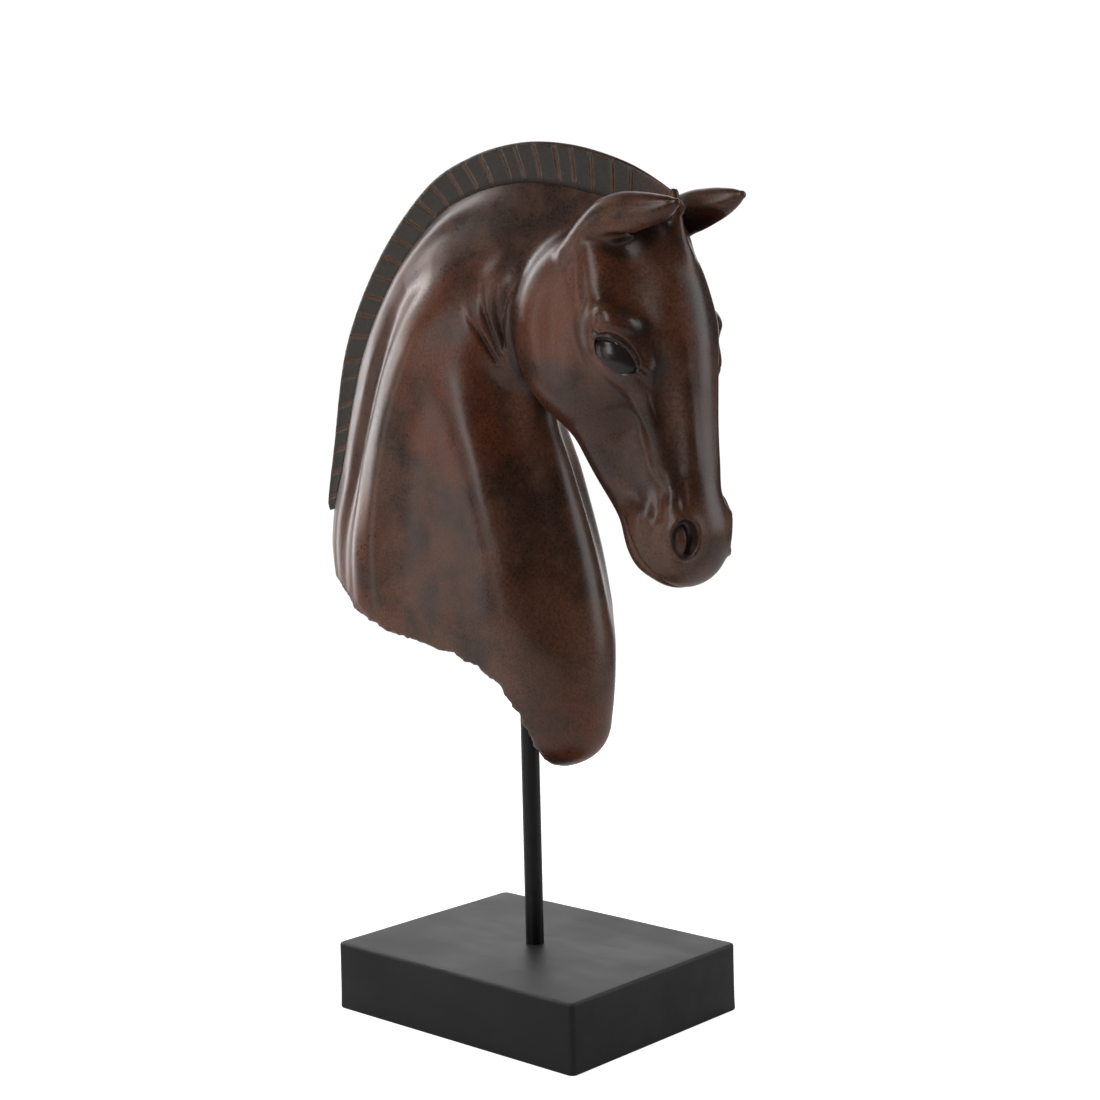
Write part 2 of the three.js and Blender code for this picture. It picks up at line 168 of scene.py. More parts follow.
def locate(line, x, z):
    """The nearest place on a line: how far the point lies right of its travel, the same with its ends
    rounded, how far it lies past an end, the line's row there, and the place. Found by Newton's steps."""
    i = np.clip(((x - seed_low[0]) / seed_step + 0.5).astype(int), 0, seed_count[0] - 1)
    k = np.clip(((z - seed_low[1]) / seed_step + 0.5).astype(int), 0, seed_count[1] - 1)
    t = line["seed"][i, k]
    for _ in range(2):
        row, change, bend = curve_at(line, t)
        dx = row[..., 0] - x
        dz = row[..., 1] - z
        speed = change[..., 0] ** 2 + change[..., 1] ** 2
        slope = dx * change[..., 0] + dz * change[..., 1]
        steep = np.maximum(speed + dx * bend[..., 0] + dz * bend[..., 1], 0.3 * speed)
        t = np.clip(t - np.clip(slope / steep, -0.3, 0.3), 0, line["last"])
    row, change, _ = curve_at(line, t)
    speed = np.hypot(change[..., 0], change[..., 1])
    dx = x - row[..., 0]
    dz = z - row[..., 1]
    beside = (dx * change[..., 1] - dz * change[..., 0]) / speed
    past = (dx * change[..., 0] + dz * change[..., 1]) / speed
    right = np.where(beside < 0, -1, 1) * np.hypot(dx, dz)
    return {"right": right, "beside": beside, "past": past, "row": row, "t": t}


def carried(place, y, power=2.0):
    """Distance to a form carried along a line: its section is an ellipse, squarer with a higher power."""
    depth, width = place["row"][..., 2], place["row"][..., 3]
    small = np.minimum(depth, width)
    section = (np.abs(place["beside"] / depth) ** power + np.abs(y / width) ** power) ** (1 / power)
    return (np.hypot(section, place["past"] / small) - 1) * small


def egg(x, y, z, centre, radii, turn=0.0, power=2.0):
    """Distance to an egg shape turned in the XZ plane; with a power over 2 its sides are flatter."""
    c, s = math.cos(math.radians(turn)), math.sin(math.radians(turn))
    dx, dz = x - centre[0], z - centre[2]
    u = (dx * c + dz * s) / radii[0]
    v = np.abs(y - centre[1]) / radii[1]
    w = (dz * c - dx * s) / radii[2]
    if power != 2.0:
        return ((np.hypot(u, w) ** power + v**power) ** (1 / power) - 1) * min(radii)
    inside = np.sqrt(u * u + v * v + w * w)
    slope = np.sqrt((u / radii[0]) ** 2 + (v / radii[1]) ** 2 + (w / radii[2]) ** 2)
    return inside * (inside - 1) / np.maximum(slope, 1e-6)


def bar(x, y, z, a, b, radius_a, radius_b):
    """Distance to a round bar from a to b whose radius changes evenly."""
    d = [b[0] - a[0], b[1] - a[1], b[2] - a[2]]
    along = (x - a[0]) * d[0] + (y - a[1]) * d[1] + (z - a[2]) * d[2]
    t = np.clip(along / (d[0] ** 2 + d[1] ** 2 + d[2] ** 2), 0, 1)
    gap = np.sqrt((x - a[0] - t * d[0]) ** 2 + (y - a[1] - t * d[1]) ** 2 + (z - a[2] - t * d[2]) ** 2)
    return gap - radius_a - (radius_b - radius_a) * t


def smooth_path(rows, parts):
    """More rows between the given ones, on a smooth curve through them (Catmull-Rom)."""
    rows = np.array(rows, float)
    ends = np.vstack([2 * rows[0] - rows[1], rows, 2 * rows[-1] - rows[-2]])
    t = np.linspace(0, len(rows) - 1, parts * (len(rows) - 1) + 1)
    stretch = np.minimum(t.astype(int), len(rows) - 2)
    f = (t - stretch)[:, None]
    p, q, r, s = (ends[stretch + n] for n in range(4))
    return q + f * ((r - p) / 2 + f * (p - 2.5 * q + 2 * r - s / 2 + f * (1.5 * (q - r) + (s - p) / 2)))


def stroke(places, rows, width):
    """Relief of a line drawn on the surface: its height at the nearest place on the line, times e to the
    power of minus the square of the distance in widths. A row is a place and a height; a groove's is
    below 0."""
    reach = 2.4 * width
    near = np.ones(len(places[0]), bool)
    for place, line in zip(places, rows.T):
        near &= (place > line.min() - reach) & (place < line.max() + reach)
    away = 0
    share = 0
    length = 0
    starts, steps = rows[:-1, :-1].T, np.diff(rows[:, :-1], axis=0).T
    offsets = [place[near][:, None] - start for place, start in zip(places, starts)]
    for offset, step in zip(offsets, steps):
        share = share + offset * step
        length = length + step**2
    share = np.clip(share / length, 0, 1)
    for offset, step in zip(offsets, steps):
        away = away + (offset - share * step) ** 2
    pick = away.argmin(1)
    at = np.arange(len(pick))
    height = rows[pick, -1] + share[at, pick] * (rows[pick + 1, -1] - rows[pick, -1])
    relief = np.zeros(len(near))
    relief[near] = height * np.exp(-away[at, pick] / width**2)
    return relief


def noise(x, y, z, cell, seed):
    """Soft unevenness from -1 to 1: random values on a lattice with the given cell, blended smoothly."""
    side = 32
    lattice = np.random.default_rng(seed).uniform(-1, 1, (side, side, side))
    parts = []
    for value in (x, y, z):
        whole = np.floor(value / cell)
        share = value / cell - whole
        index = whole.astype(int)
        parts.append((index % side, (index + 1) % side, share * share * (3 - 2 * share)))
    total = 0.0
    for i in (0, 1):
        for j in (0, 1):
            for k in (0, 1):
                weight = 1.0
                for (low, high, share), pick in zip(parts, (i, j, k)):
                    weight = weight * (share if pick else 1 - share)
                corner = [part[pick] for part, pick in zip(parts, (i, j, k))]
                total = total + weight * lattice[corner[0], corner[1], corner[2]]
    return total


crest = make_line(crest_rows)


def neck_top_rows():
    """The crest's rows moved inwards, square to it, by the height of the mane band."""
    row, change, _ = curve_at(crest, np.arange(len(crest_rows), dtype=float))
    step = change[:, :2] / np.linalg.norm(change[:, :2], axis=1, keepdims=True)
    return row[:, :2] + np.stack([step[:, 1], -step[:, 0]], 1) * row[:, 2:3]


neck_top = make_line(neck_top_rows())
front = make_line(front_rows)
broken = make_line(break_rows)
windpipe = make_line(windpipe_rows)
nose = make_line(nose_rows)
jaw = make_line(jaw_rows)
ear = make_line(ear_rows)


def neck_form(x, y, z):
    """Neck: half its width is a power of the sine of the depth below the crest, up to a flat side, with a
    roll beside the mane. The windpipe runs down its front, and a soft bar fills it behind the cheek."""
    crest_depth = 74
    widest = 42
    roll_height = 2.4
    from_top = locate(neck_top, x, z)["right"]
    towards_head = 0.75 * x + 0.66 * (z - 300)
    slimming = (1 - 0.31 * smooth_step(5, 75, towards_head)) * (1 - 0.42 * smooth_step(225, 150, z))
    flat_width = widest * slimming
    roll = roll_height * smooth_step(255, 320, z) * smooth_step(120, 30, towards_head)
    roll = roll * swell(from_top, 12, 7)
    turn = np.clip(from_top / crest_depth, 1e-3, 1) * np.pi / 2
    fullness = 0.9 + 0.15 * smooth_step(420, 340, z)
    half_width = flat_width * np.sin(turn) ** fullness + roll * smooth_step(0, 6, from_top)
    rise = flat_width * fullness * np.pi * np.cos(turn) / (2 * crest_depth)
    flare = np.minimum(rise * np.sin(turn) ** (fullness - 1), 3)
    side = np.where(from_top > 0, (y - half_width) / np.hypot(1, flare), np.hypot(y, from_top))
    body = overlap(side, x - 96, 12)
    body = overlap(body, locate(front, x, z)["right"], 34)
    body = join(body, carried(locate(windpipe, x, z), y), 16)
    return join(body, bar(x, y, z, (11, 17, 396), (9, 14, 356), 11, 8), 10)


def head_form(x, y, z):
    """Head: rounded forms joined one after another, with a hollow carved at the temple."""
    form = join(carried(locate(nose, x, z), y, 2.5), carried(locate(jaw, x, z), y, 2.2), 10)
    # Cheek
    form = join(form, egg(x, y, z, (64.5, 0, 370.5), (50, 38, 53), 14, 3.0), 6)
    # Muzzle and chin
    form = join(form, egg(x, y, z, (108, 0, 266), (23.6, 23, 25.5), 8, 2.3), 9)
    form = join(form, egg(x, y, z, (96, 0, 257), (12, 14, 10)), 6)
    # Cheekbone
    form = join(form, bar(x, y, z, (101, 26, 349), (112, 14, 296), 5.5, 1.5), 8)
    # Brow, the ridge above it and the hollow of the temple
    form = join(form, egg(x, y, z, (98.8, 34.6, 375.5), (12.5, 9.9, 9.5)), 7)
    form = join(form, bar(x, y, z, (85, 30.5, 378), (77, 27.5, 411), 5, 6), 15)
    form = carve(form, egg(x, y, z, (119.5, 39, 398), (20, 17, 26), -12), 12)
    # Forelock, and the forehead beside it
    form = join(form, bar(x, y, z, (107, 0, 437), (109.5, 0, 408), 2.6, 4.5), 9)
    form = join(form, egg(x, y, z, (95, 9, 414), (12, 10, 12)), 8)
    # Swelling round the nostril
    return join(form, egg(x, y, z, (119, 15, 269), (10.5, 9.5, 13)), 5)


def eye_place(x, y, z):
    """A point in the eye's own axes."""
    d = (x - eye_centre[0], y - eye_centre[1], z - eye_centre[2])
    return [d[0] * axis[0] + d[1] * axis[1] + d[2] * axis[2] for axis in (eye_along, eye_across, eye_out)]


def lid_edge(u, v):
    """How far a point in the eye's plane lies outside the almond between the upper and the lower lid."""
    bow = np.clip(1 - (u / eye_half_length) ** 2, 0, 1) ** 0.7
    return np.maximum(v + 0.8 - 5.8 * bow, -0.8 - 7.6 * bow - v)


def eye_form(form, x, y, z):
    """Eye: a flattened ball behind an almond opening in a mound of lids, with a rim round the opening
    and a crease above the upper lid."""
    u, v, w = eye_place(x, y, z)
    edge = lid_edge(u, v)
    opening = np.maximum(edge * 0.8, np.abs(u) - eye_half_length)
    lids = np.sqrt((u / 20) ** 2 + ((v - 0.4) / 13) ** 2 + ((w + 7.5) / 10.5) ** 2)
    form = join(form, (lids - 1) * 10.5, 6)
    near = smooth_step(-12, -5, w) * smooth_step(20, 13.5, np.abs(u))
    rim = swell(edge, 0.7, 0.6)
    crease = swell(edge, 2.2, 0.7) * smooth_step(-3, 0.5, v)
    fold = swell(edge, 4.2, 1.3) * smooth_step(-3, 0.5, v)
    form = form - (0.3 * rim - 0.65 * crease + 0.3 * fold) * near
    form = overlap(form, -np.maximum(opening, -5 - w), 0.8)
    ball = np.sqrt((u / 14.4) ** 2 + ((v + 1.2) / 10.2) ** 2 + ((w + 6.8) / 10.2) ** 2)
    return join(form, (ball - 1) * 10, 0.6)


def nostril_form(form, x, y, z):
    """Nostril: an upright oval hole with a rounded rim and a low fold inside."""
    hole = egg(x, y, z, (127, 19.5, 267), (6.9, 6.9, 10.2))
    fold = egg(x, y, z, (120.8, 18, 266.5), (4.6, 4.0, 8.6))
    return join(carve(form, hole, 1.6), fold, 1.5)


def ear_form(x, y, z, left):
    """Ear: laid forwards, carried along its own line and hollow towards the forehead below."""
    lift = left * left_ear_lift * smooth_step(70, 130, x)
    form = carried(locate(ear, x, z - lift), y - 26)
    hollow = egg(x, y, z - lift, (107, 21.5, 420.5), (16.5, 6.3, 6.5), -6)
    return carve(form, hollow, 1)


# Lines drawn on both sides of the head: width, then rows of x, y outwards, z, height
head_strokes = [
    # Groove from below the ear to the back corner of the eye
    (2.6, [(77, 36, 411, -0.3), (79.5, 37, 396, -0.8), (81, 38, 386, -0.8), (82, 39, 377, -0.1)]),
    # Crease below the ear
    (2.0, [(79, 36, 414, -0.4), (88, 33, 414.5, -1.2), (99, 28, 417, -1.2), (108, 23, 419, -0.5)]),
    # Swelling of the brow, with a hollow above it
    (6.0, [(91, 38.5, 379, 0.2), (95, 40, 378, 0.7), (99, 38, 376, 0.6), (105, 31, 371, 0.2)]),
    (5.5, [(96, 35, 386, -0.7), (104, 31, 383, -0.8), (111, 25, 376, -0.5)]),
    # Middle of the forehead
    (7.5, [(112, 0, 408, 0.8), (118, 0, 395, 1.3), (122, 0, 370, 1.1), (124, 0, 345, 0.4)]),
    # Cheekbone's crest running down from the eye, with a groove in front of it
    (2.8, [(103, 33, 351, 0.5), (106.5, 31, 344, 1.3), (109, 26.3, 336, 1.4), (110.5, 22.5, 325, 1.0),
           (112, 19.5, 313, 0.1)]),
    (2.6, [(110, 30.5, 346, -0.5), (112, 25.5, 336, -1.3), (113.5, 21.8, 325, -1.1),
           (115, 18.8, 313, -0.2)]),
    # Lower edge of the cheek, running on towards the nostril
    (4.2, [(60, 28, 322, -0.3), (74.7, 29, 325, -0.6), (88.7, 26.5, 329, -0.7), (99.9, 21.5, 323, -0.8),
           (106.5, 20.5, 314, -0.6), (110.5, 18.5, 303, -0.4)]),
    (2.6, [(100.5, 21, 312, -0.3), (101.3, 21, 306, -0.9), (102, 20.5, 300, -0.3)]),
    # Edge of the flat front of the nose, with a broad hollow beside it
    (3.4, [(120.5, 14, 365, 0.3), (121.5, 12.6, 354, 0.8), (121.9, 11.4, 335, 1.1), (123.4, 10, 307, 1.1),
           (124.2, 10, 294, 0.5)]),
    (5.5, [(115, 22.6, 360, -0.5), (116, 20.8, 346, -1.6), (117, 19, 328, -2.2), (118.8, 17.3, 307, -2.1),
           (120.5, 16.5, 296, -0.8)]),
    # Groove above the nostril and the swellings on each side of it
    (2.3, [(121.6, 14.4, 294, -0.4), (122.8, 15.5, 287, -1.2), (124.5, 18, 280, -0.7)]),
    (5.5, [(116, 18, 293, 0.8), (117.5, 20, 284, 2.6)]),
    (7.5, [(99, 21, 285, 1.2), (102, 22.5, 279, 3.2)]),
    (4.0, [(110, 20.5, 295, -0.6), (110.5, 21.5, 288, -1.8), (111, 22.5, 279, -1.4)]),
    # Rim of the nostril
    (1.8, [(119, 24.5, 275, 0.3), (117.5, 25.5, 267, 0.4), (119, 24.5, 259, 0.7), (124, 20, 255.5, 0.9),
           (128, 15, 259, 0.5)]),
    # Mouth
    (1.2, [(86, 17, 277, -0.6), (89.5, 20.5, 271, -1.6), (93, 21.6, 264, -2.0), (96.3, 20.8, 257, -2.0),
           (101, 19, 251, -2.0), (106.5, 15.5, 246.4, -2.0), (110, 8, 243, -2.0), (111, 0, 242.3, -2.0)]),
    # Shallow hollow down the cheek
    (8.0, [(60, 38, 396, -0.4), (56, 38, 374, -1.2), (56, 37, 350, -0.7)]),
]
head_lines = [(width, smooth_path(rows, 4)) for width, rows in head_strokes]

# Lines drawn on the sides of the neck as seen from the side: width, then rows of x, z, height
neck_strokes = [
    # Trough between the roll beside the mane and the ridge behind it
    (11, [(-40, 405, -1.0), (-62, 391, -4.0), (-80, 364, -6.8), (-90, 337, -7.6), (-102, 309, -7.4),
          (-107, 282, -6.2), (-109, 254, -4.6), (-108, 222, -3.2)]),
    # Ridge
    (9, [(-11, 396, 0.4), (-28, 381, 1.2), (-42, 362, 1.8), (-55, 336, 2.1), (-65, 309, 2.1),
         (-71, 282, 2.1), (-75, 254, 1.9), (-74, 222, 1.4)]),
    # Shallow hollow of the flat side
    (14, [(-22, 352, -0.8), (-36, 310, -1.2), (-44, 270, -1.2), (-46, 225, -0.8)]),
    # Turn of the side towards the front
    (13, [(-3, 336, 0.9), (2, 312, 2.0), (9, 284, 2.4), (17, 256, 2.0), (24, 230, 0.9)]),
    # Folds of skin behind the cheek
    (1.8, [(21, 396, -0.3), (15, 384, -1.2), (12, 372, -1.4), (11.5, 362, -0.6)]),
    (1.6, [(13, 398, -0.2), (11.5, 390, -1.0), (10.5, 381, -1.6), (11, 370, -1.5), (11.5, 363, -0.7)]),
    (1.7, [(1, 397, -0.2), (1, 389, -0.8), (3.5, 377, -1.4), (6.5, 367.5, -1.5), (9, 358, -1.3),
           (12, 351, -0.4)]),
    (1.7, [(-9, 387, -0.2), (-5, 377.5, -0.8), (-1.5, 371, -1.2), (5.5, 356, -1.2), (10, 350.5, -0.4)]),
    # Furrow beside the windpipe
    (12, [(6, 345, -1.0), (16, 318, -2.6), (26, 285, -2.8), (34, 255, -1.8), (40, 225, -0.8)]),
]
neck_lines = [(width, smooth_path(rows, 2)) for width, rows in neck_strokes]


def within(mask, form, *parts):
    """A form's values where the mask holds, and a far-off 60 elsewhere."""
    values = np.full(mask.shape, 60.0)
    values[mask] = form(*(part[mask] for part in parts))
    return values


def cut_form(x, y, z):
    """The rough break below: right of its line by the distance, less three sizes of unevenness near it."""
    cut = locate(broken, x, z)["right"]
    near = np.abs(cut) < 9
    spot = (x[near], y[near], z[near])
    cut[near] += 2.2 * noise(*spot, 11, 3) + 1.3 * noise(*spot, 4.5, 4) + 0.7 * noise(*spot, 2, 5)
    return cut


def face_form(x, y, z):
    """The head with its eye and nostril on one side."""
    return nostril_form(eye_form(head_form(x, y, z), x, y, z), x, y, z)


def whole_form(x, y, z):
    """The cast before it was broken off."""
    side = np.abs(y)
    neck = within(x < 108, neck_form, x, side, z)
    form = join(neck, within((x > -4) & (z > 225), face_form, x, side, z), 5)
    form = join(form, within((x > 42) & (z > 388), ear_form, x, side, z, y > 0), 4)
    outer = smooth_step(8, 20, side)
    for width, rows in neck_lines:
        form -= stroke((x, z), rows, width) * outer
    for width, rows in head_lines:
        form -= stroke((x, side, z), rows, width)
    return form


def cast_form(x, y, z):
    """The whole cast without its mane: below zero inside and above zero outside."""
    return overlap(whole_form(x, y, z), cut_form(x, y, z), 0.6)


# Surface of a form

def grid_lines(low, high, fine_low, fine_high, fine, coarse):
    """Places that lie a fine step apart between the fine limits, and up to a coarse step apart away
    from them."""
    lines = [low]
    while lines[-1] < high:
        away = max(fine_low - lines[-1], lines[-1] - fine_high, 0)
        share = min(away / 30, 1)
        lines.append(lines[-1] + fine + (coarse - fine) * share * share * (3 - 2 * share))
    return np.array(lines)


def close_pinches(inside):
    """Where the inside touches itself only across the diagonal of a grid square, one more corner is
    filled."""
    changed = True
    while changed:
        changed = False
        for axis in range(3):
            turned = np.moveaxis(inside, axis, 0)
            a, b = turned[:, :-1, :-1], turned[:, 1:, :-1]
            c, d = turned[:, 1:, 1:], turned[:, :-1, 1:]
            first = (a == c) & (b == d) & (a != b)
            if not first.any():
                continue
            fill_b = first & a
            fill_a = first & ~a
            b[fill_b] = True
            a[fill_a] = True
            changed = True


def sampled(form, xs, ys, zs):
    """A form's values on a grid: worked out at every third place, which stands for its neighbours where the
    surface is far off, and at every place near the surface."""
    stride = 3
    lines = (xs, ys, zs)
    rough = [line[::stride] for line in lines]
    grid = np.meshgrid(*rough, indexing="ij")
    values = form(*(part.ravel() for part in grid)).reshape(grid[0].shape)
    for axis, line in enumerate(lines):
        nearest = np.minimum((np.arange(len(line)) + 1) // stride, len(rough[axis]) - 1)
        values = np.take(values, nearest, axis)
    cell = [np.gradient(line) for line in lines]
    reach = np.sqrt(cell[0][:, None, None] ** 2 + cell[1][None, :, None] ** 2 + cell[2][None, None, :] ** 2)
    near = np.nonzero(np.abs(values) < 2.2 * reach)
    values[near] = form(*(line[index] for line, index in zip(lines, near)))
    return values


def skin_of(form, xs, ys, zs):
    """Closed surface of a form on a grid: one vertex in each cell that it crosses, at the mean of its
    crossings of the cell's edges, and one face across each grid edge that it crosses."""
    values = sampled(form, xs, ys, zs)
    inside = values < 0
    close_pinches(inside)
    values = np.where(inside, np.minimum(values, -1e-3), np.maximum(values, 1e-3))
    shape = tuple(n - 1 for n in values.shape)
    corners = sum(
        inside[i:shape[0] + i, j:shape[1] + j, k:shape[2] + k].astype(np.int8)
        for i in (0, 1) for j in (0, 1) for k in (0, 1)
    )
    cells = np.nonzero((corners > 0) & (corners < 8))
    number = np.full(shape, -1)
    number[cells] = np.arange(len(cells[0]))
    places = (xs, ys, zs)
    total = np.zeros((len(cells[0]), 3))
    crossings = np.zeros(len(cells[0]))
    for axis in range(3):
        for first in (0, 1):
            for second in (0, 1):
                low = [cells[n].copy() for n in range(3)]
                low[(axis + 1) % 3] += first
                low[(axis + 2) % 3] += second
                high = list(low)
                high[axis] = low[axis] + 1
                a, b = values[tuple(low)], values[tuple(high)]
                crossed = (a < 0) != (b < 0)
                share = np.where(crossed, a / np.where(crossed, a - b, 1), 0)
                start = np.stack([places[n][low[n]] for n in range(3)], 1)
                end = np.stack([places[n][high[n]] for n in range(3)], 1)
                total += np.where(crossed[:, None], start + share[:, None] * (end - start), 0)
                crossings += crossed
    faces = []
    for axis in range(3):
        turned = np.moveaxis(inside, axis, 0)
        a, b = turned[:-1, 1:-1, 1:-1], turned[1:, 1:-1, 1:-1]
        others = [n for n in range(3) if n != axis]
        found = np.nonzero(a != b)
        spot = [None] * 3
        spot[axis] = found[0]
        spot[others[0]] = found[1] + 1
        spot[others[1]] = found[2] + 1
        u, v = (axis + 1) % 3, (axis + 2) % 3
        ring = []
        for du, dv in ((1, 1), (0, 1), (0, 0), (1, 0)):
            cell = list(spot)
            cell[u] = spot[u] - du
            cell[v] = spot[v] - dv
            ring.append(number[tuple(cell)])
        quads = np.stack(ring, 1)
        outward = a[found]
        quads[~outward] = quads[~outward][:, ::-1]
        faces.append(quads)
    return total / crossings[:, None], np.concatenate(faces)


def slope_of(form, points):
    """Value and slope of a form at points, from its values at the four corners of a small tetrahedron."""
    h = 0.2
    corners = np.array([(1, -1, -1), (-1, -1, 1), (-1, 1, -1), (1, 1, 1)])
    values = [form(*(points + h * corner).T) for corner in corners]
    slope = sum(value[:, None] * corner for value, corner in zip(values, corners)) / (4 * h)
    return sum(values) / 4, slope


def settle(form, points, rounds, reach):
    """Moves points along the slope of a form until they lie on its surface."""
    for _ in range(rounds):
        value, slope = slope_of(form, points)
        steep = np.maximum((slope**2).sum(1), 0.05)
        move = (value / steep)[:, None] * slope
        length = np.linalg.norm(move, axis=1, keepdims=True)
        points = points - move * np.minimum(1, reach / np.maximum(length, 1e-9))
    return points


def hollow_of(form, points):
    """How hollow a form is round its surface's points, from 0 to 1, and how much it stands out: the share by
    which its value a little way outside falls short of that way, or exceeds it inside."""
    normal = slope_of(form, points)[1]
    normal /= np.maximum(np.linalg.norm(normal, axis=1, keepdims=True), 1e-6)
    hollow = 0
    for way, weight in ((2, 0.9), (5, 0.8), (12, 0.7)):
        hollow = hollow + weight * np.clip(1 - form(*(points + way * normal).T) / way, 0, 1)
    proud = np.clip(1 + form(*(points - 2.5 * normal).T) / 2.5, 0, 1)
    return np.clip(hollow, 0, 1), proud


def add_values(mesh, name, values):
    """Stores one number for each vertex of a mesh."""
    attribute = mesh.attributes.new(name, "FLOAT", "POINT")
    attribute.data.foreach_set("value", np.ascontiguousarray(values, float))


def mesh_object(name, points, faces, material):
    """An object at the origin, in metres, from points in millimetres."""
    mesh = bpy.data.meshes.new(name)
    mesh.from_pydata((points * MM).tolist(), [], [list(face) for face in faces])
    mesh.polygons.foreach_set("use_smooth", np.ones(len(mesh.polygons), bool))
    mesh.materials.append(material)
    mesh.update()
    obj = bpy.data.objects.new(name, mesh)
    bpy.context.collection.objects.link(obj)
    return obj


# Grid cells on the head and, at most, on the neck
head_cell = 1.75
neck_cell = 3.1

# Round places that get a finer mesh on both sides, beside the eye: centre and reach
fine_places = [
    # Nostril
    ((122, 18, 267), 15),
    # Ear
    ((118, 24, 425), 20),
    # Folds of skin behind the cheek
    ((8, 34, 374), 24),
]


def points_of(mesh):
    """A mesh's vertices in millimetres."""
    flat = np.empty(len(mesh.vertices) * 3)
    mesh.vertices.foreach_get("co", flat)
    return flat.reshape(-1, 3) / MM


def place_points(mesh, points):
    """Moves a mesh's vertices to points in millimetres."""
    mesh.vertices.foreach_set("co", (points * MM).ravel())


def folded_over(points):
    """Points of the left side turned over onto the right side, where y is counted outwards."""
    return points * (1, 0, 1) + np.abs(points) * (0, 1, 0)


def split_edges(mesh, chosen):
    """Halves each edge between two chosen vertices, and fills the faces between them."""
    bm = bmesh.new()
    bm.from_mesh(mesh)
    bm.verts.ensure_lookup_table()
    edges = [e for e in bm.edges if chosen[e.verts[0].index] and chosen[e.verts[1].index]]
    bmesh.ops.subdivide_edges(bm, edges=edges, cuts=1, use_grid_fill=True)
    bm.to_mesh(mesh)
    bm.free()


def near_fine_strokes(points):
    """Which points lie within a drawn line's reach, for the lines too narrow for the grid."""
    places = (points[:, 0], np.abs(points[:, 1]), points[:, 2])
    chosen = np.zeros(len(points), bool)
    for width, rows in head_lines:
        if width < 2.5:
            even = np.column_stack([rows[:, :3], np.ones(len(rows))])
            chosen |= stroke(places, even, width + 0.6) > 0.06
    return chosen


def cast_piece(material):
    """The cast's surface, finer where the head is and finest round the eyes, drawn lines and broken edge."""
    xs = grid_lines(-175, 150, 60, 150, head_cell, neck_cell)
    zs = grid_lines(120, 482, 240, 442, head_cell, neck_cell)
    half = int(56 / head_cell)
    ys = np.arange(-half, half + 1) * head_cell
    points, faces = skin_of(cast_form, xs, ys, zs)
    points = settle(cast_form, points, 2, head_cell / 2)
    obj = mesh_object("horse_cast", points, faces, material)
    mesh = obj.data
    chosen = near_fine_strokes(points)
    for centre, reach in [(eye_centre, 19), *fine_places]:
        chosen |= np.linalg.norm(folded_over(points) - centre, axis=1) < reach
    chosen |= np.abs(cut_form(*points.T)) < 1.5
    split_edges(mesh, chosen)
    points = settle(cast_form, points_of(mesh), 1, head_cell / 2)
    chosen = np.linalg.norm(folded_over(points) - eye_centre, axis=1) < 17
    chosen |= (np.abs(cut_form(*points.T)) < 1.5) & (np.abs(whole_form(*points.T)) < 2)
    place_points(mesh, points)
    split_edges(mesh, chosen)
    points = settle(cast_form, points_of(mesh), 2, 0.6)
    place_points(mesh, points)
    mesh.polygons.foreach_set("use_smooth", np.ones(len(mesh.polygons), bool))
    mesh.update()
    hollow, proud = hollow_of(cast_form, points)
    u, v, w = eye_place(points[:, 0], np.abs(points[:, 1]), points[:, 2])
    on_ball = (w > -6) & (np.abs(u) < eye_half_length + 1)
    add_values(mesh, "eyeball", smooth_step(0.3, -1.0, lid_edge(u, v)) * on_ball)
    # Hollowness: the material uses it for reddish patina and for painted shade in the deepest creases
    add_values(mesh, "hollow", hollow)
    add_values(mesh, "proud", proud)
    return obj


def ring_surface(name, rings, material):
    """A closed surface through rings of points, from the first ring's middle to the last ring's middle."""
    count, ring = rings.shape[:2]
    i, j = np.meshgrid(np.arange(count - 1), np.arange(ring), indexing="ij")
    k = (j + 1) % ring
    faces = np.stack([i * ring + j, i * ring + k, (i + 1) * ring + k, (i + 1) * ring + j], -1).reshape(-1, 4)
    faces = faces.tolist() + [list(range(ring))[::-1], list(range((count - 1) * ring, count * ring))]
    return mesh_object(name, rings.reshape(-1, 3), faces, material)


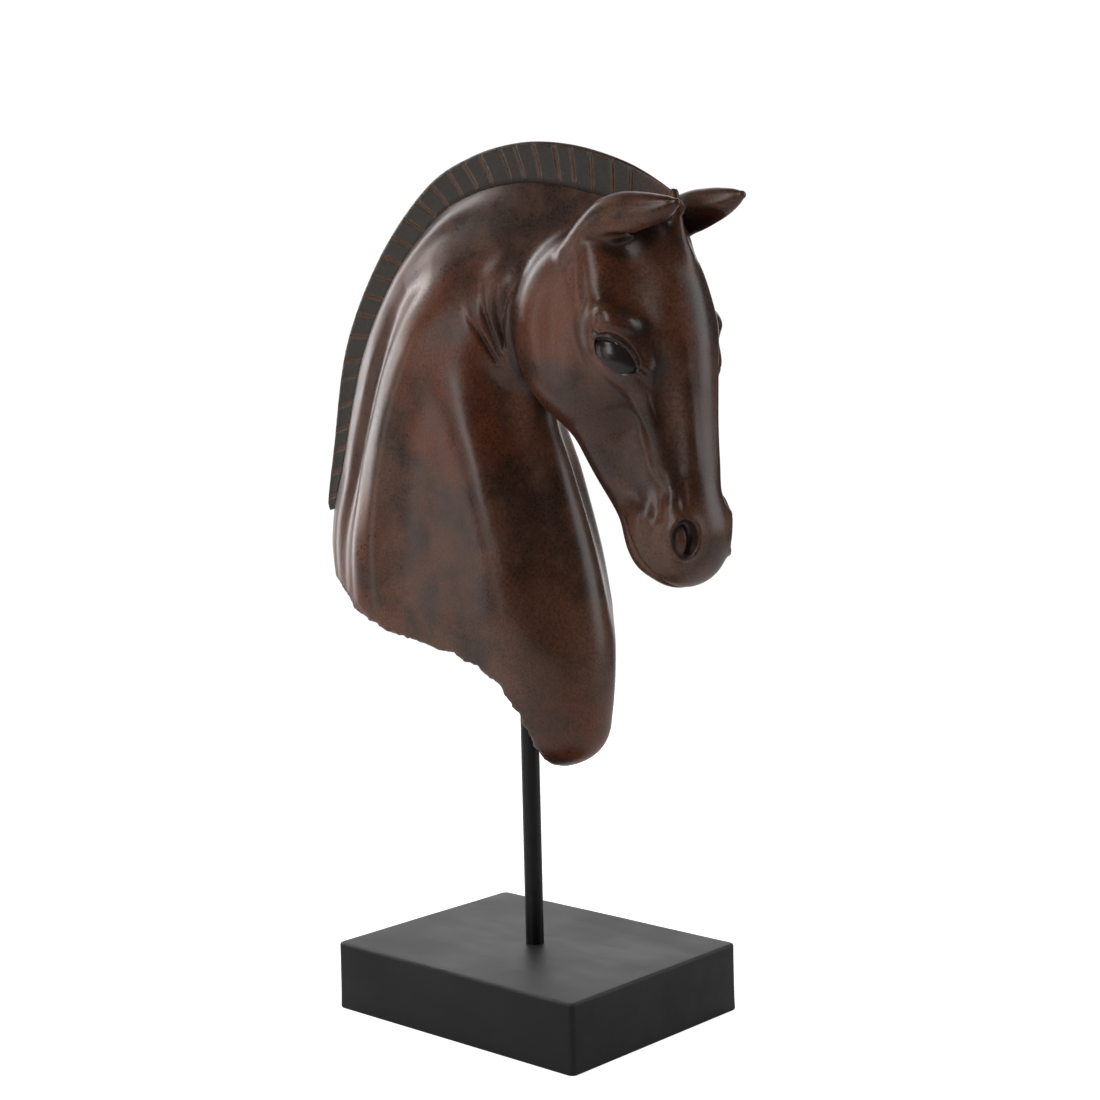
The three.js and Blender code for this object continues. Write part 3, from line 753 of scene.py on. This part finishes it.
def mane_piece(material):
    """The mane: an upright band carried along the crest, its sides cut by slanting notches. A notch is two
    fine grooves side by side; it starts just below the band's smooth top and runs down to the neck."""
    notch_count = 27
    lean = 0.45
    buried = 5
    half_thickness = 3.5
    cut_depth = 1.1
    rng = np.random.default_rng(7)
    t = np.linspace(0, crest["last"], 900)
    row = curve_at(crest, t)[0]
    length = np.concatenate([[0], np.cumsum(np.hypot(np.diff(row[:, 0]), np.diff(row[:, 1])))])
    whole = length[-1]
    start, end = 0.158 * whole, 0.945 * whole
    first, last = start + 0.014 * whole, 0.868 * whole
    pitch = (last - first) / (notch_count - 1)
    centres = first + pitch * (np.arange(notch_count) + rng.uniform(-0.12, 0.12, notch_count))
    second_cut = rng.uniform(0.15, 1, notch_count)
    offsets = np.array([-3.4, -2.3, -1.7, -1.3, -1, -0.7, -0.35, 0, 0.35, 0.7, 1, 1.3, 1.7, 2.3, 3.4])
    s = np.concatenate([
        np.linspace(start, start + 2, 4), (centres[:, None] + offsets).ravel(),
        (centres[:-1, None] + (centres[1:] - centres[:-1])[:, None] * np.array([0.38, 0.5, 0.62])).ravel(),
        np.linspace(centres[-1] + 5, end, 40),
    ])
    s = np.unique(np.round(s, 3))
    profile = np.array([
        (1, 1.15), (0.8, 1.04), (0.6, 0.98), (0.42, 0.95), (0.3, 0.93), (0.2, 0.92), (0.14, 0.9),
        (0.09, 0.85), (0.05, 0.74), (0.02, 0.56), (0, 0.25),
    ])
    profile = np.concatenate([profile, profile[::-1] * (1, -1)])
    share, across = profile[:, 0][None, :], profile[:, 1][None, :]
    height = np.interp(s, length, row[:, 2])[:, None] + buried
    depth = share * height
    at = np.clip(s[:, None] + lean * depth, 0, whole)
    here, change, _ = curve_at(crest, np.interp(at, length, t))
    step = change[..., :2] / np.linalg.norm(change[..., :2], axis=-1, keepdims=True)
    inward = np.stack([step[..., 1], -step[..., 0]], -1)
    away = s[:, None] - centres[None, :]
    grooves = np.exp(-(((away - 0.85) / 0.65) ** 2)) + second_cut * np.exp(-(((away + 0.85) / 0.6) ** 2))
    groove = grooves.sum(1)[:, None] * smooth_step(1.2, 2.8, depth) * (share < 1)
    slim = smooth_step(start - 4, start + 5, s[:, None])
    thinning = 2.6 * smooth_step(0.8 * whole, 0.94 * whole, s[:, None])
    half = (half_thickness - thinning) * slim * np.abs(across)
    half = np.maximum(half - cut_depth * groove * slim, 0.2)
    points = np.stack([
        here[..., 0] + inward[..., 0] * depth,
        np.sign(across) * half,
        here[..., 1] + inward[..., 1] * depth,
    ], -1)
    obj = ring_surface("mane_band", points, material)
    mane = 1 - smooth_step(0.86 * whole, 0.92 * whole, s[:, None])
    mane = mane * (0.55 + 0.45 * smooth_step(0.5, 2.5, depth))
    add_values(obj.data, "mane", mane.ravel())
    add_values(obj.data, "groove", np.clip(groove * mane, 0, 1).ravel())
    return obj


def rod_piece(material):
    """The rod: a circle carried up from inside the block into the cast, with small bevels at its ends."""
    radius, foot, top, bevel = 5, 12.5, 221.5, 0.6
    turn = np.linspace(0, 2 * np.pi, 64, endpoint=False)
    profile = np.array([(radius - bevel, foot), (radius, foot + bevel), (radius, 40), (radius, 185),
                        (radius, top - bevel), (radius - bevel, top)])
    rings = np.stack([
        profile[:, :1] * np.cos(turn), profile[:, :1] * np.sin(turn), profile[:, 1:] + 0 * turn,
    ], -1)
    return ring_surface("black_rod", rings, material)


def block_piece(material):
    """The block: a rectangle with rounded corners carried up a profile with rounded edges; its sides and
    edges lie up to about half a millimetre inside the true box, as hand-finished wood does."""
    length, depth, height, corner, edge = 175, 135, 37.5, 3.2, 1.3
    unevenness = 0.55
    turn = np.linspace(0, np.pi / 2, 8)
    side_share = np.linspace(0, 1, 14)[1:-1]
    quarter = np.stack([np.cos(turn), np.sin(turn)], -1) * corner
    middle = np.array([length / 2 - corner, depth / 2 - corner])
    outline = []
    for sign_x, sign_y, order in ((1, 1, 1), (-1, 1, -1), (-1, -1, 1), (1, -1, -1)):
        arc = (quarter[::order] + middle) * (sign_x, sign_y)
        if outline:
            last = outline[-1][-1]
            outline.append(last + side_share[:, None] * (arc[0] - last))
        outline.append(arc)
    outline.append(outline[-1][-1] + side_share[:, None] * (outline[0][0] - outline[-1][-1]))
    outline = np.concatenate(outline)
    bend = np.linspace(0, np.pi / 2, 6)
    lower = np.stack([edge * (1 - np.sin(bend)), edge * (1 - np.cos(bend))], -1)
    sides = np.stack([np.zeros(6), np.linspace(edge, height - edge, 8)[1:-1]], -1)
    upper = np.stack([lower[::-1, 0], height - lower[::-1, 1]], -1)
    flat = np.array([60, 40, 22, 10, 4])
    profile = np.concatenate([
        np.stack([flat, 0 * flat], -1), lower, sides, upper, np.stack([flat[::-1], 0 * flat + height], -1),
    ])
    inset, level = profile[:, 0][:, None], profile[:, 1][:, None]
    x = outline[None, :, 0] * (1 - inset / (length / 2))
    y = outline[None, :, 1] * (1 - inset / (depth / 2))
    z = level + 0 * x
    uneven = 0.5 + 0.35 * noise(x, y, z, 31, 11) + 0.15 * noise(x, y, z, 9, 12)
    wave = unevenness * uneven * smooth_step(0, 8, level)
    x = x - np.sign(x) * wave * smooth_step(length / 2 - 12, length / 2, np.abs(x))
    y = y - np.sign(y) * wave * smooth_step(depth / 2 - 12, depth / 2, np.abs(y))
    z = z - 0.5 * wave * smooth_step(height - 4, height, level)
    return ring_surface("black_block", np.stack([x, y, z], -1), material)


# Materials

def new_material(name):
    """A new material, its nodes and its links."""
    material = bpy.data.materials.new(name)
    material.use_nodes = True
    return material, material.node_tree.nodes, material.node_tree.links


def add_noise(nodes, links, vector, scale, detail, roughness=0.5):
    """A noise texture fed by a place in object space."""
    texture = nodes.new("ShaderNodeTexNoise")
    texture.inputs["Scale"].default_value = scale
    texture.inputs["Detail"].default_value = detail
    texture.inputs["Roughness"].default_value = roughness
    links.new(vector, texture.inputs["Vector"])
    return texture.outputs["Fac"]


def add_range(nodes, links, value, low, high, to_low=0.0, to_high=1.0):
    """A value between low and high mapped onto another range, with soft ends."""
    node = nodes.new("ShaderNodeMapRange")
    node.interpolation_type = "SMOOTHSTEP"
    node.inputs["From Min"].default_value = low
    node.inputs["From Max"].default_value = high
    node.inputs["To Min"].default_value = to_low
    node.inputs["To Max"].default_value = to_high
    links.new(value, node.inputs["Value"])
    return node.outputs["Result"]


def add_mix(nodes, links, share, a, b, blend="MIX"):
    """Two colours mixed by a share; each is a socket or a fixed colour."""
    node = nodes.new("ShaderNodeMix")
    node.data_type = "RGBA"
    node.blend_type = blend
    for socket, value in ((node.inputs[6], a), (node.inputs[7], b)):
        if isinstance(value, tuple):
            socket.default_value = (*value, 1)
        else:
            links.new(value, socket)
    if isinstance(share, float):
        node.inputs[0].default_value = share
    else:
        links.new(share, node.inputs[0])
    return node.outputs[2]


def add_sum(nodes, links, a, b, operation="ADD"):
    """The sum of two values, or another operation on them; each is a socket or a fixed number."""
    node = nodes.new("ShaderNodeMath")
    node.operation = operation
    for socket, value in zip(node.inputs, (a, b)):
        if isinstance(value, float):
            socket.default_value = value
        else:
            links.new(value, socket)
    return node.outputs["Value"]


def add_attribute(nodes, name):
    """The numbers stored under a name on the mesh."""
    node = nodes.new("ShaderNodeAttribute")
    node.attribute_name = name
    return node.outputs["Fac"]


def add_grey(nodes, links, value):
    """A grey colour from one value."""
    node = nodes.new("ShaderNodeCombineColor")
    for socket in node.inputs:
        links.new(value, socket)
    return node.outputs["Color"]


def resin_material():
    """Cast resin with a hand-rubbed dark brown patina: broad blotches from near black to red-brown, a fine
    speckle, reddish hollows, painted shade that darkens the deepest creases, and a darker mane with
    gold-brown grooves."""
    dark_brown, brown, red_brown = (0.037, 0.0175, 0.0115), (0.115, 0.049, 0.028), (0.155, 0.042, 0.016)
    hollow_red, crease_painted_shade, rubbed_edge = (0.075, 0.025, 0.012), (0.016, 0.008, 0.006), (0.07, 0.045, 0.036)
    mane_dark, groove_gold, eye_dark = (0.031, 0.0215, 0.0145), (0.17, 0.085, 0.045), (0.022, 0.015, 0.013)
    material, nodes, links = new_material("dark_resin")
    shader = nodes["Principled BSDF"]
    place = nodes.new("ShaderNodeTexCoord").outputs["Object"]
    blotch = add_noise(nodes, links, place, 26, 4, 0.6)
    reds = add_noise(nodes, links, place, 15, 3, 0.55)
    speckle = add_noise(nodes, links, place, 760, 3, 0.75)
    colour = add_mix(nodes, links, add_range(nodes, links, blotch, 0.36, 0.64), dark_brown, brown)
    colour = add_mix(nodes, links, add_range(nodes, links, reds, 0.5, 0.68, 0.0, 0.75), colour, red_brown)
    hollow = add_attribute(nodes, "hollow")
    proud = add_attribute(nodes, "proud")
    # Reddish patina in the hollows, painted shade that darkens the deepest creases towards near black, and
    # lighter rubbed edges where the cast stands out
    for value, low, high, most, tint in (
        (hollow, 0.15, 0.6, 0.6, hollow_red),
        (hollow, 0.5, 0.95, 0.75, crease_painted_shade),
        (proud, 0.25, 0.8, 0.5, rubbed_edge),
    ):
        colour = add_mix(nodes, links, add_range(nodes, links, value, low, high, 0.0, most), colour, tint)
    eyeball = add_attribute(nodes, "eyeball")
    mane = add_attribute(nodes, "mane")
    colour = add_mix(nodes, links, mane, colour, mane_dark)
    colour = add_mix(nodes, links, add_attribute(nodes, "groove"), colour, groove_gold)
    grain = add_range(nodes, links, speckle, 0.32, 0.68, 0.66, 1.34)
    colour = add_mix(nodes, links, 1.0, colour, add_grey(nodes, links, grain), "MULTIPLY")
    colour = add_mix(nodes, links, eyeball, colour, eye_dark)
    links.new(colour, shader.inputs["Base Color"])
    shader.inputs["Specular IOR Level"].default_value = 0.45
    rough = add_range(nodes, links, blotch, 0.3, 0.7, 0.28, 0.35)
    rough = add_sum(nodes, links, rough, add_range(nodes, links, speckle, 0.3, 0.7, -0.03, 0.05))
    rough = add_sum(nodes, links, rough, add_sum(nodes, links, eyeball, -0.08, "MULTIPLY"))
    rough = add_sum(nodes, links, rough, add_sum(nodes, links, mane, 0.14, "MULTIPLY"))
    links.new(rough, shader.inputs["Roughness"])
    bump = nodes.new("ShaderNodeBump")
    bump.inputs["Strength"].default_value = 0.12
    bump.inputs["Distance"].default_value = 0.0004
    links.new(speckle, bump.inputs["Height"])
    links.new(bump.outputs["Normal"], shader.inputs["Normal"])
    return material


def rod_material():
    """Satin black paint on metal."""
    material, nodes, links = new_material("rod_paint")
    shader = nodes["Principled BSDF"]
    place = nodes.new("ShaderNodeTexCoord").outputs["Object"]
    wear = add_noise(nodes, links, place, 180, 3)
    shader.inputs["Base Color"].default_value = (0.003, 0.003, 0.003, 1)
    shader.inputs["Specular IOR Level"].default_value = 0.35
    links.new(add_range(nodes, links, wear, 0.3, 0.7, 0.34, 0.46), shader.inputs["Roughness"])
    return material


def block_material():
    """Matt black paint brushed along the block, so that its top shows faint lighter and darker sweeps; the
    whole top is also painted lighter than the black sides, a painted sheen that stands in for the reflection
    of the lights.
    """
    material, nodes, links = new_material("block_paint")
    shader = nodes["Principled BSDF"]
    place = nodes.new("ShaderNodeTexCoord").outputs["Object"]
    stretch = nodes.new("ShaderNodeMapping")
    stretch.inputs["Scale"].default_value = (9, 34, 40)
    stretch.inputs["Rotation"].default_value = (0, 0, 0.5)
    links.new(place, stretch.inputs["Vector"])
    sweep = add_noise(nodes, links, stretch.outputs["Vector"], 1.0, 4, 0.6)
    cloud = add_noise(nodes, links, place, 22, 3, 0.55)
    both = add_sum(nodes, links, add_sum(nodes, links, sweep, cloud), 0.5, "MULTIPLY")
    level = nodes.new("ShaderNodeSeparateXYZ")
    links.new(place, level.inputs["Vector"])
    painted_sheen_on_top = add_range(nodes, links, level.outputs["Z"], 0.0355, 0.0372)
    brushed = add_range(nodes, links, both, 0.38, 0.62)
    # Painted sheen: the top face is painted grey, lighter than the black sides, in place of the lights'
    # reflection, with the brush sweeps across it
    top = add_mix(nodes, links, brushed, (0.018, 0.018, 0.02), (0.06, 0.059, 0.063))
    colour = add_mix(nodes, links, painted_sheen_on_top, (0.005, 0.005, 0.005), top)
    links.new(colour, shader.inputs["Base Color"])
    shader.inputs["Specular IOR Level"].default_value = 0.4
    links.new(add_range(nodes, links, both, 0.34, 0.66, 0.44, 0.6), shader.inputs["Roughness"])
    bump = nodes.new("ShaderNodeBump")
    bump.inputs["Strength"].default_value = 0.25
    bump.inputs["Distance"].default_value = 0.0015
    links.new(both, bump.inputs["Height"])
    links.new(bump.outputs["Normal"], shader.inputs["Normal"])
    return material


resin = resin_material()
cast = cast_piece(resin)
mane = mane_piece(resin)
rod = rod_piece(rod_material())
block = block_piece(block_material())

for piece, node, slot in (
    (cast, "horse_head", "dark_resin"),
    (mane, "horse_head", "dark_resin"),
    (rod, "support_rod", "black_paint"),
    (block, "base_block", "black_block"),
):
    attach(piece, "root")
    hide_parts(node)

# Stage, light and camera

# How bright the floor and the backdrop are as seen by the camera, and as light on the object
floor_seen, floor_light = 0.9, 0.13
backdrop_seen, backdrop_light = 1.05, 0.06
floor_radius = 1.1

bpy.ops.mesh.primitive_circle_add(vertices=96, radius=floor_radius, fill_type="NGON", location=(0, 0, 0))
floor = bpy.context.object
floor.name = "floor"
floor_white, floor_nodes, floor_links = new_material("floor_white")
floor_shader = floor_nodes["Principled BSDF"]
floor_shader.inputs["Base Color"].default_value = (0.8, 0.8, 0.8, 1)
floor_shader.inputs["Roughness"].default_value = 0.9
floor_shader.inputs["Specular IOR Level"].default_value = 0.1
floor_shader.inputs["Emission Color"].default_value = (1, 1, 1, 1)
floor_glow = floor_nodes.new("ShaderNodeMapRange")
floor_glow.inputs["To Min"].default_value = floor_light
floor_glow.inputs["To Max"].default_value = floor_seen
floor_ray = floor_nodes.new("ShaderNodeLightPath")
floor_links.new(floor_ray.outputs["Is Camera Ray"], floor_glow.inputs["Value"])
floor_links.new(floor_glow.outputs["Result"], floor_shader.inputs["Emission Strength"])
floor.data.materials.append(floor_white)

world = bpy.data.worlds.new("studio")
bpy.context.scene.world = world
world.use_nodes = True
world_nodes, world_links = world.node_tree.nodes, world.node_tree.links
backdrop = world_nodes["Background"]
backdrop.inputs["Color"].default_value = (1, 1, 1, 1)
seen = world_nodes.new("ShaderNodeLightPath")
strength = world_nodes.new("ShaderNodeMapRange")
strength.inputs["To Min"].default_value = backdrop_light
strength.inputs["To Max"].default_value = backdrop_seen
world_links.new(seen.outputs["Is Camera Ray"], strength.inputs["Value"])
world_links.new(strength.outputs["Result"], backdrop.inputs["Strength"])
bpy.context.scene.view_settings.view_transform = "Standard"

camera_place = Vector((0.73835, -0.78219, 0.35665))
camera_yaw, camera_pitch, camera_roll = 42.64, 5.45, -1.34
sensor_width = 36
frame_pixels = 1100
camera_focal = 2000 / frame_pixels * sensor_width

camera_data = bpy.data.cameras.new("camera")
camera_data.lens = camera_focal
camera_data.sensor_width = sensor_width
camera = bpy.data.objects.new("camera", camera_data)
bpy.context.collection.objects.link(camera)
camera.location = camera_place
turn = (
    Matrix.Rotation(math.radians(camera_yaw), 4, "Z")
    @ Matrix.Rotation(math.radians(90 - camera_pitch), 4, "X")
    @ Matrix.Rotation(math.radians(camera_roll), 4, "Z")
)
camera.rotation_euler = turn.to_euler()
bpy.context.scene.camera = camera


def soft_box(name, azimuth, elevation, distance, size, brightness):
    """A rectangular area light at an azimuth round the object, counted as the camera's is, facing the cast.
    Its power is pi times its area times its brightness."""
    a, e = math.radians(azimuth), math.radians(elevation)
    target = Vector((0, 0, 0.3))
    light_data = bpy.data.lights.new(name, "AREA")
    light_data.shape = "RECTANGLE"
    light_data.size, light_data.size_y = size
    light_data.energy = math.pi * size[0] * size[1] * brightness
    light = bpy.data.objects.new(name, light_data)
    bpy.context.collection.objects.link(light)
    back = Vector((math.sin(a) * math.cos(e), -math.cos(a) * math.cos(e), math.sin(e)))
    light.location = target + back * distance
    light.rotation_euler = back.to_track_quat("Z", "Y").to_euler()
    light.visible_camera = False


soft_box("back_wall", 222, 15, 2.2, (1.9, 2.6), 1.3)
soft_box("left_box", -91, 17, 1.4, (0.32, 1.4), 5.8)
soft_box("side_strip", -48, 5, 1.7, (0.3, 1.1), 2.3)
soft_box("fill_box", -16, 7, 1.7, (0.7, 1.1), 1.0)
soft_box("front_box", 2, 26, 1.5, (0.46, 0.9), 4.2)
soft_box("upper_box", -6, 52, 1.6, (0.4, 0.4), 6)
soft_box("right_box", 134, 18, 1.6, (0.9, 1.4), 2.2)
